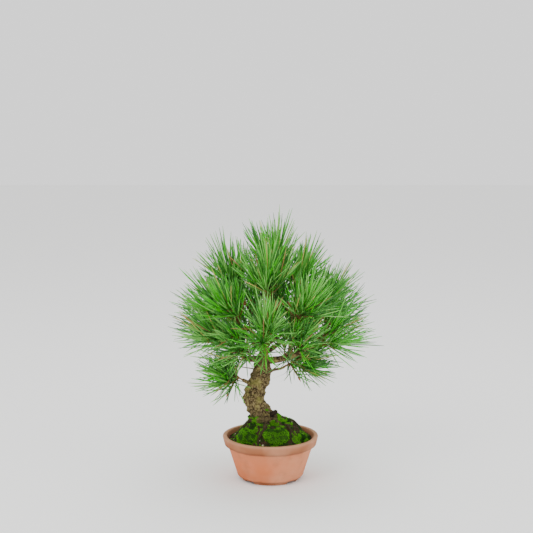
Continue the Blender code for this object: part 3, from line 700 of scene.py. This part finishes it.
def spikes(name, rows, sides, profile, finish, slot, *nodes):
    """Many slim tapered spikes in one mesh.

    A row is root, direction, length, radius and the sideways offset of the tip; the profile gives
    (share of length, share of radius) for each ring.
    """
    root, way, length, radius, bow = (np.array([row[i] for row in rows], float) for i in range(5))
    length = length[:, None]
    helper = np.where(np.abs(way[:, 2:3]) < 0.9, [[0.0, 0.0, 1.0]], [[1.0, 0.0, 0.0]])
    across = np.cross(way, helper)
    across /= np.linalg.norm(across, axis=1)[:, None]
    up = np.cross(way, across)
    rings = []
    for share, width in profile:
        centre = root + way * length * share + bow * share**2
        for side in range(sides):
            turn = math.tau * side / sides
            out = across * math.cos(turn) + up * math.sin(turn)
            rings.append(centre + out * (radius * width)[:, None])
    points = np.stack(rings, axis=1)
    faces = []
    for ring in range(len(profile) - 1):
        for side in range(sides):
            low = ring * sides
            after = (side + 1) % sides
            faces.append((low + side, low + after, low + sides + after, low + sides + side))
    last = (len(profile) - 1) * sides
    faces += [tuple(range(sides))[::-1], tuple(range(last, last + sides))]
    starts = range(0, (last + sides) * len(rows), last + sides)
    polygons = [tuple(start + corner for corner in face) for start in starts for face in faces]
    mesh = bpy.data.meshes.new(name)
    mesh.from_pydata(points.reshape(-1, 3).tolist(), [], polygons)
    mesh.shade_smooth()
    placed(name, mesh, finish, slot, *nodes)


def smooth_line(points, share):
    """A point on the smooth curve through rows of numbers, share running from 0 to 1."""
    spans = len(points) - 1
    place = min(share * spans, spans - 1e-9)
    index = int(place)
    t = place - index
    rows = [points[max(0, min(spans, index + step))] for step in (-1, 0, 1, 2)]
    return [
        0.5 * (2 * b + (c - a) * t + (2 * a - 5 * b + 4 * c - d) * t**2 + (3 * b - a - 3 * c + d) * t**3)
        for a, b, c, d in zip(*rows)
    ]


def flare_share(height, top):
    """How far down a flare that starts at top this height lies, 1 at the soil."""
    return max(0.0, (top - height) / (top - SEAT_HEIGHT))


def trunk_point(share, angle):
    """A point on the smooth trunk, with the bark's outward direction and the trunk's radius."""
    x, y, height, radius = smooth_line(TRUNK_LINE, share)
    reach = radius + FLARE_REACH * flare_share(height, FLARE_TOP) ** 2
    for degrees, size, top in ROOT_RIDGES:
        away = math.remainder(angle - math.radians(degrees), math.tau) / RIDGE_WIDTH
        reach += size * flare_share(height, top) * math.exp(-(away**2))
    knobs = sum(math.sin(around * angle + along * share) for around, along in KNOB_WAVES)
    reach += KNOB_SIZE * knobs * min(1.0, radius / THICK_TRUNK)
    out = Vector((math.cos(angle), math.sin(angle), 0.0))
    return Vector((x, y, height)) + out * reach, out, radius


def limb_at(name, share):
    """A limb's place and radius at a share of its length, on the curve its solid follows."""
    if name == "trunk":
        row = smooth_line(TRUNK_LINE, share)
        return Vector(row[:3]), row[3]
    parent, where, end, sag, thick, thin = BOUGHS[name]
    start = point_on(parent, where)
    end = Vector(end)
    waver = random_way(random.Random(name), -1, 1) * BOUGH_WAVER
    middle = (start + end) / 2 + Vector((0.0, 0.0, -2 * sag))
    place = start * (1 - share) ** 2 + middle * 2 * share * (1 - share) + end * share**2
    place += waver * math.sin(math.pi * share) * math.sin(2.5 * math.pi * share)
    return place, thick + (thin - thick) * share**0.8


@lru_cache(maxsize=None)
def limb_line(name):
    """A limb's places and radii at the rings of its solid."""
    steps = TRUNK_RINGS if name == "trunk" else BOUGH_STEPS
    return [limb_at(name, step / steps) for step in range(steps + 1)]


@lru_cache(maxsize=None)
def point_on(name, share):
    """Where a bough starts on its parent: on the straight run between two rings of the solid."""
    line = limb_line(name)
    place = share * (len(line) - 1)
    index = min(int(place), len(line) - 2)
    return line[index][0].lerp(line[index + 1][0], place - index)


def bark_relief(place, plate):
    """How high the bark stands, from 0 deep in a fissure to 1 on a plate, plates about so wide."""
    here = Vector((place.x / plate, place.y / plate, place.z / (PLATE_STRETCH * plate)))
    here += noise.noise_vector(here * 0.8) * PLATE_WARP
    nearest = noise.voronoi(here)[0]
    edge = min(1.0, max(0.0, (nearest[1] - nearest[0]) / FISSURE_WIDTH))
    crumb = noise.fractal(here * 3.1, 0.8, 2.0, 3)
    height = edge * edge * (3 - 2 * edge) * PLATE_RISE + FISSURE_FLOOR + crumb * BARK_CRUMB
    return max(0.0, min(1.0, height))


def rolled(around, along, surface):
    """A grid rolled into a closed limb: surface(turn, share) gives a point and its relief."""
    shape = bmesh.new()
    relief = shape.verts.layers.float.new("relief")
    bmesh.ops.create_grid(shape, x_segments=around, y_segments=along, size=0.5)
    for point in shape.verts:
        place, height = surface((point.co.x + 0.5) * math.tau, point.co.y + 0.5)
        point.co = place
        point[relief] = height
    bmesh.ops.remove_doubles(shape, verts=shape.verts, dist=MERGE_DISTANCE)
    rims = [edge for edge in shape.edges if edge.is_boundary]
    bmesh.ops.holes_fill(shape, edges=rims, sides=0)
    bmesh.ops.recalc_face_normals(shape, faces=shape.faces)
    return shape


def make_trunk(finish):
    """The trunk with its plates and fissures as real relief, coarse low down and fine at the top."""

    def surface(turn, share):
        place, out, radius = trunk_point(share, turn)
        plate = TRUNK_PLATE * min(1.0, max(SMALLEST_PLATE, radius / THICK_TRUNK))
        height = bark_relief(place, plate)
        return place + out * (height - TRUNK_RELIEF_LEVEL) * TRUNK_RELIEF * plate, height

    shape = rolled(*TRUNK_GRID, surface)
    placed("trunk_bark", meshed("trunk_bark", shape, SMOOTH_ALL), finish, "bark", "trunk")
    # an old cut limb on the right shoulder, weathered nearly black
    place, way, length, radius = CUT_STUB
    stub = [(Vector(place), Vector(way), length, radius, Vector())]
    weathered = plain_finish("weathered_cut_wood", 0.9, "#2a2018", 0.2)
    spikes("cut_stub", stub, 12, ((0.0, 1.0), (0.5, 0.85), (0.85, 0.8), (1.0, 0.55)), weathered, "bark")


def sheathed(line, plate):
    """The surface of a limb that follows (place, radius) from line(share), with fine bark."""

    def surface(turn, share):
        centre, radius = line(share)
        ahead, _ = line(min(1.0, share + 0.02))
        behind, _ = line(max(0.0, share - 0.02))
        along = (ahead - behind).normalized()
        side = along.cross(Vector((0.3, 0.2, 1.0))).normalized()
        out = side * math.cos(turn) + along.cross(side) * math.sin(turn)
        place = centre + out * radius
        height = bark_relief(place, plate)
        return place + out * (height - LIMB_RELIEF_LEVEL) * LIMB_RELIEF * plate, height

    return surface


def root_line(name):
    """The line of a surface root, which lies half sunk on the mound and bends once either way."""
    degrees, near, far, thick, thin, bend = ROOTS[name]

    def line(share):
        radius = near + (far - near) * share
        angle = math.radians(degrees) + bend * math.sin(2 * math.pi * share) / radius
        place = Vector((radius * math.cos(angle), radius * math.sin(angle), soil_height(radius)))
        return place, thick + (thin - thick) * share

    return line


def make_limbs(name, lines, grid, plate, finish):
    """One piece of bark over all the limbs whose lines are given."""
    shape = bmesh.new()
    for line in lines.values():
        part = meshed("part", rolled(*grid, sheathed(line, plate)))
        shape.from_mesh(part)
        bpy.data.meshes.remove(part)
    placed(name, meshed(name, shape, SMOOTH_ALL), finish, "bark", *lines)


def tilted(axis, angle, turn):
    """A unit vector at an angle from the axis, turned about it."""
    side = axis.orthogonal().normalized()
    side = side * math.cos(turn) + axis.cross(side) * math.sin(turn)
    return (axis * math.cos(angle) + side * math.sin(angle)).normalized()


def mass_base(limb):
    """Where a mass starts, just clear of its limb's tip, and the way the limb points there."""
    line = limb_line(limb)
    end = line[-1][0]
    along = (end - line[-2][0]).normalized()
    return end + along * GAP * 1.5, along


def aim(base):
    """The way a mass heads: outwards from the crown's heart, and never far below level."""
    way = (base - CROWN_HEART).normalized()
    way.z = max(way.z, LOWEST_AIM)
    return way.normalized()


def space_test(name, sites):
    """A test of whether a place is in this mass's space: nearest to its site, and not hanging low."""
    site = sites[name]
    floor = mass_base(MASSES[name][0])[0].z - SPACE_BELOW
    others = [other for other in sites.values() if other != site]
    walls = [((other + site) / 2, (other - site).normalized()) for other in others]

    def in_space(place):
        if place.z <= floor:
            return False
        return all((place - middle).dot(way) < -SPACE_MARGIN for middle, way in walls)

    return in_space


def limb_test():
    """A test of whether a needle passes clear of the trunk and the boughs."""
    places, radii = [], []
    for name in ["trunk", *BOUGHS]:
        line = limb_line(name)
        for (first, thick), (second, thin) in zip(line, line[1:]):
            steps = max(1, math.ceil((second - first).length / LIMB_SAMPLE))
            for step in range(steps):
                places.append(first.lerp(second, step / steps))
                radii.append(thick + (thin - thick) * step / steps)
    tree = KDTree(len(places))
    for index, place in enumerate(places):
        tree.insert(place, index)
    tree.balance()
    widest = max(radii) + LIMB_MARGIN

    def clear_of_limbs(start, end):
        for step in range(2, 11):
            place = start.lerp(end, step / 10)
            for _, index, distance in tree.find_range(place, widest):
                if distance < radii[index] + LIMB_MARGIN:
                    return False
        return True

    return clear_of_limbs


class Growth:
    """Rows of needles, twigs and buds as they grow, needles kept by shade."""

    def __init__(self):
        self.needles = {shade: [] for shade in NEEDLE_SHADES}
        self.twigs = []
        self.buds = []
        self.clear_of_limbs = limb_test()

    def twig(self, start, end, radius):
        along = end - start
        self.twigs.append((start, along.normalized(), along.length, radius, Vector()))

    def fitting_length(self, root, way, length, least, in_space):
        """The longest that a needle can be in its space and clear of the limbs, or None."""
        while length > least:
            end = root + way * length
            if in_space(end) and in_space(root.lerp(end, 0.5)) and self.clear_of_limbs(root, end):
                return length
            length *= 0.9
        return None

    def dealt_shade(self, own, rng):
        """The shoot's own shade or another green, or now and then a fading needle."""
        shade = own if rng.random() < OWN_SHADE_SHARE else rng.choice(OTHER_SHADES)
        faded = rng.random()
        if faded < FADED_SHARE:
            shade = "dry" if faded < DRY_SHARE else "straw"
        return shade

    def shoot(self, tip, way, count, longest, in_space, rng, behind):
        """Needles all round a shoot that starts behind its tip, the lowest spread the widest."""
        own = rng.choices(list(NEEDLE_SHADES), [share for _, share in NEEDLE_SHADES.values()])[0]
        reach = behind + SHOOT_LENGTH
        first_turn = rng.uniform(0, math.tau)
        for index in range(count):
            share = (index + rng.random()) / count
            root = tip + way * (reach * share - behind)
            lean = NEEDLE_SPREAD[0] + (NEEDLE_SPREAD[1] - NEEDLE_SPREAD[0]) * share**0.8
            heading = tilted(way, lean * rng.uniform(*NEEDLE_LEAN), first_turn + GOLDEN_ANGLE * index)
            heading = (heading + Vector((0.0, 0.0, NEEDLE_LIFT))).normalized()
            length = longest * rng.uniform(*NEEDLE_LENGTHS)
            length = self.fitting_length(root, heading, length, longest * SHORTEST_NEEDLE, in_space)
            if length is None:
                continue
            bow = heading.cross(random_way(rng, -1, 1))
            bow = bow * length * NEEDLE_BOW * rng.uniform(0.2, 1.0)
            shade = self.dealt_shade(own, rng)
            self.needles[shade].append((root, heading, length, NEEDLE_RADIUS, bow))
        if rng.random() < BUD_SHARE:
            seat = tip + way * (SHOOT_LENGTH - BUD_SINK)
            self.buds.append((seat, way, rng.uniform(*BUD_LENGTHS), BUD_RADIUS, Vector()))

    def side_shoots(self, start, way, run, vigour, in_space, rng):
        """Finer twigs off a main twig, each with its own smaller shoot."""
        first_turn = rng.uniform(0, math.tau)
        for index in range(SIDE_TWIGS):
            root = start + way * run * (0.25 + 0.6 * index / SIDE_TWIGS)
            angle = math.radians(rng.uniform(*SIDE_ANGLES))
            heading = tilted(way, angle, first_turn + GOLDEN_ANGLE * index)
            tip = root + heading * TWIG_LENGTH * vigour * rng.uniform(0.45, 0.75)
            if in_space(tip) and in_space(tip + heading * SHOOT_LENGTH):
                self.twig(root, tip + heading * SHOOT_LENGTH * 0.8, TWIG_RADIUS * 0.8)
                longest = NEEDLE_LENGTH * vigour * 0.9
                self.shoot(tip, heading, SIDE_NEEDLES, longest, in_space, rng, 0.004)

    def mass(self, name, sites):
        """The source's stem and twigs, from the same draws, then the finer twigs and the needles."""
        limb, shoots, vigour = MASSES[name]
        rng = random.Random(name)
        fine = random.Random(name + "_fine")
        in_space = space_test(name, sites)
        base, along = mass_base(limb)
        heading = (along + aim(base) * AIM_WEIGHT).normalized()
        fork = base + along * STEM_LENGTH * vigour
        self.twig(base - along * 0.002, fork + along * TWIG_RADIUS, STEM_RADIUS)
        first_turn = rng.uniform(0, math.tau)
        grown = 0
        for index in range(TWIG_TRIES):
            spread = TWIG_SPREAD * rng.uniform(0.8, 1.1) if index else LEADER_SPREAD
            way = tilted(heading, spread, first_turn + GOLDEN_ANGLE * index)
            way = (way + Vector((0.0, 0.0, TWIG_LIFT))).normalized()
            run = TWIG_LENGTH * vigour * (rng.uniform(0.8, 1.0) if index else LEADER_SHARE)
            tip = fork + way * run
            if grown == shoots or not (in_space(tip) and in_space(tip + way * SHOOT_LENGTH)):
                continue
            grown += 1
            for _ in range(DRAWS_PER_SHOOT):
                rng.random()
            self.twig(fork, tip + way * SHOOT_LENGTH * 0.9, TWIG_RADIUS)
            self.shoot(tip, way, MAIN_NEEDLES, NEEDLE_LENGTH * vigour, in_space, fine, 0.010)
            self.side_shoots(fork, way, run, vigour, in_space, fine)

    def inner_shoots(self, limb, lowest):
        """Short shoots along the outer half of a limb, which close the crown's inside."""
        rng = random.Random(limb + "_inner")
        for index in range(INNER_TWIGS):
            place, radius = limb_at(limb, 0.50 + 0.45 * (index + 0.5) / INNER_TWIGS)
            out = (place - CROWN_HEART).normalized() + Vector((0.0, 0.0, INNER_LIFT))
            spread = math.radians(rng.uniform(*INNER_ANGLES))
            heading = tilted(out.normalized(), spread, rng.uniform(0, math.tau))
            tip = place + heading * (radius + INNER_TWIG_LENGTH)
            self.twig(place, tip + heading * SHOOT_LENGTH * 0.8, TWIG_RADIUS * 0.8)
            longest = NEEDLE_LENGTH * INNER_NEEDLE_SHARE
            self.shoot(tip, heading, INNER_NEEDLES, longest, lambda at: at.z > lowest, rng, 0.0)

    def at_twig_end(self, wanted, way, length, radius, bow=(0.0, 0.0, 0.0)):
        """A row for a spike that grows from the twig's end nearest to the place wanted."""
        ends = (start + along * reach for start, along, reach, _, _ in self.twigs)
        root = min(ends, key=lambda end: (end - Vector(wanted)).length)
        return root, Vector(way).normalized(), length, radius, Vector(bow)


def make_crown():
    """Every mass and the shoots inside them, then one piece for each shade and kind."""
    sites = {}
    for name, (limb, _, _) in MASSES.items():
        base, _ = mass_base(limb)
        sites[name] = base + aim(base) * SITE_REACH
    crown = Growth()
    for name in MASSES:
        crown.mass(name, sites)
    for limb in BOUGHS:
        if limb not in OPEN_BOUGHS:
            crown.inner_shoots(limb, CROWN_FLOOR)
    crown.inner_shoots("trunk", LEADER_FLOOR)
    crown.buds += [crown.at_twig_end(*candle) for candle in DRY_CANDLES]
    hooked = [crown.at_twig_end(*needle) for needle in HOOKED_NEEDLES]
    # a withered needle is brown and has lost most of its wax
    withered = plain_finish("withered_needle", 0.7, "#5c4a2e", 0.3)
    curve = [(step / 8, 1.0 - 0.6 * step / 8) for step in range(9)]
    spikes("hooked_needles", hooked, 5, curve, withered, "needles")
    needle_profile = ((0.0, 0.8), (0.3, 1.0), (0.8, 0.85), (1.0, 0.25))
    for shade, (colour, _) in NEEDLE_SHADES.items():
        # a waxy leaf: half matt, with a soft light along its ridge
        waxy = plain_finish("pine_needle_" + shade, 0.48, colour, 0.4)
        nodes = list(MASSES) if shade == "mid" else []
        spikes("needles_" + shade, crown.needles[shade], 3, needle_profile, waxy, "needles", *nodes)
    # young bark, thin and dull, and the reddish brown scales of the buds
    young_bark = plain_finish("green_brown_twig", 0.8, "#7d6238", 0.3)
    spikes("fine_twigs", crown.twigs, 6, ((0.0, 1.0), (0.5, 0.85), (1.0, 0.6)), young_bark, "bark")
    scales = plain_finish("scaly_bud", 0.75, "#96613f", 0.3)
    bud_profile = ((0.0, 0.5), (0.25, 1.0), (0.6, 0.8), (1.0, 0.1))
    spikes("winter_buds", crown.buds, 6, bud_profile, scales, "bark")


def mossy(x, y):
    """Whether moss grows here on the open mound: broad patches with ragged edges."""
    here = Vector((x, y, 0.7))
    return noise.noise(here * 60) + 0.8 * noise.noise(here * 190) > MOUND_MOSS_ABOVE


def grow_moss_tips(tips):
    """Moss over the open mound, and up the front of the trunk's foot in patches."""
    for place, rng in scatter_on_mound("moss", MOUND_TIP_COUNT, MOSS_NEAR, MOSS_FAR, mossy):
        lean = random_way(rng, 0.4, 1.6).normalized()
        tips[moss_shade(place, *MOUND_SHADES)].append((place, lean, rng.uniform(*MOUND_TIPS)))
    rng = random.Random("climbing_moss")
    for _ in range(CLIMBING_TIP_COUNT):
        share = rng.uniform(0.0, CLIMB_SHARE)
        place, out, _ = trunk_point(share, math.radians(rng.uniform(*CLIMB_ANGLES)))
        if noise.noise(place * 75) + 0.5 * noise.noise(place * 230) > CLIMB_THINNING * share - 0.22:
            lean = random_way(rng, -0.3, 1.0) * 0.7
            shade = moss_shade(place, *CLIMBING_SHADES)
            root = place - out * CLIMB_SINK
            tips[shade].append((root, (out + lean).normalized(), rng.uniform(*CLIMBING_TIPS)))


def make_ground():
    """Moss felt and tips, crumbs of grit and a few cream pebbles on the mound."""
    make_soil(make_earth("moist_potting_grit", "#18110b", "#4f3b28", SOIL_CRUMB, 0.0008))
    felt = make_earth("cushion_moss_felt", "#171f09", "#2f5c0e", FELT_TUFT, 0.0006)
    tips = {"bright": [], "deep": []}
    for name in MOSS:
        make_moss(name, felt, tips)
    grow_moss_tips(tips)
    for shade, colour in (("bright", "#5cab10"), ("deep", "#1f4c08")):
        # moist leaves: dull, with a faint sheen
        moist = plain_finish("moss_tips_" + shade, 0.8, colour, 0.25)
        rows = [(root, way, length, MOSS_TIP_RADIUS, Vector()) for root, way, length in tips[shade]]
        spikes("moss_tips_" + shade, rows, 3, ((0.0, 1.0), (1.0, 0.15)), moist, "moss")
    for name, (colour, count, scale) in GRIT.items():
        rows = []
        for place, rng in scatter_on_mound(name, count, GRIT_NEAR, MOSS_FAR, lambda x, y: True):
            size = rng.uniform(*GRIT_SIZES) * scale
            way = random_way(rng, -0.4, 0.4).normalized()
            rows.append((place - way * size, way, size * 2.2, size, Vector()))
        # broken stone: dull, and nearly black or cream
        stone = plain_finish(name, 0.9, colour, 0.3)
        spikes(name, rows, 6, ((0.0, 0.35), (0.3, 1.0), (0.7, 0.9), (1.0, 0.3)), stone, "soil")


def make_studio():
    """A pale floor, a bright even surround and soft lights from the left, right and above."""
    shape = bmesh.new()
    bmesh.ops.create_grid(shape, x_segments=1, y_segments=1, size=6.0)
    floor = linked("floor", meshed("floor", shape))
    # matt paper, nearly white
    floor.data.materials.append(plain_finish("pale_floor", 0.9, "#f7f7f6", 0.2))
    world = bpy.data.worlds.new("studio")
    world.use_nodes = True
    surround = world.node_tree.nodes["Background"]
    surround.inputs["Color"].default_value = (1.0, 1.0, 1.0, 1.0)
    surround.inputs["Strength"].default_value = 1.35
    bpy.context.scene.world = world
    for name, (place, power, size) in LIGHTS.items():
        lamp = bpy.data.lights.new(name, "AREA")
        lamp.energy = power
        lamp.size = size
        made = linked(name, lamp)
        made.location = place
        made.rotation_euler = (LIT_PLACE - Vector(place)).to_track_quat("-Z", "Y").to_euler()


def make_camera():
    """The photograph's view: a long lens, a little above the crown, tilted down."""
    lens = bpy.data.cameras.new("camera")
    lens.lens = 85.0
    lens.sensor_width = 36.0
    camera = linked("camera", lens)
    camera.location = CAMERA_PLACE
    camera.rotation_euler = (math.pi / 2 - CAMERA_DIP, 0.0, 0.0)
    bpy.context.scene.camera = camera


make_studio()
make_camera()
make_pot(make_terracotta())
bark_finish = make_bark_finish()
make_trunk(bark_finish)
bough_lines = {name: partial(limb_at, name) for name in BOUGHS}
root_lines = {name: root_line(name) for name in ROOTS}
make_limbs("bough_bark", bough_lines, BOUGH_GRID, BOUGH_PLATE, bark_finish)
make_limbs("root_bark", root_lines, ROOT_GRID, ROOT_PLATE, bark_finish)
make_ground()
make_crown()
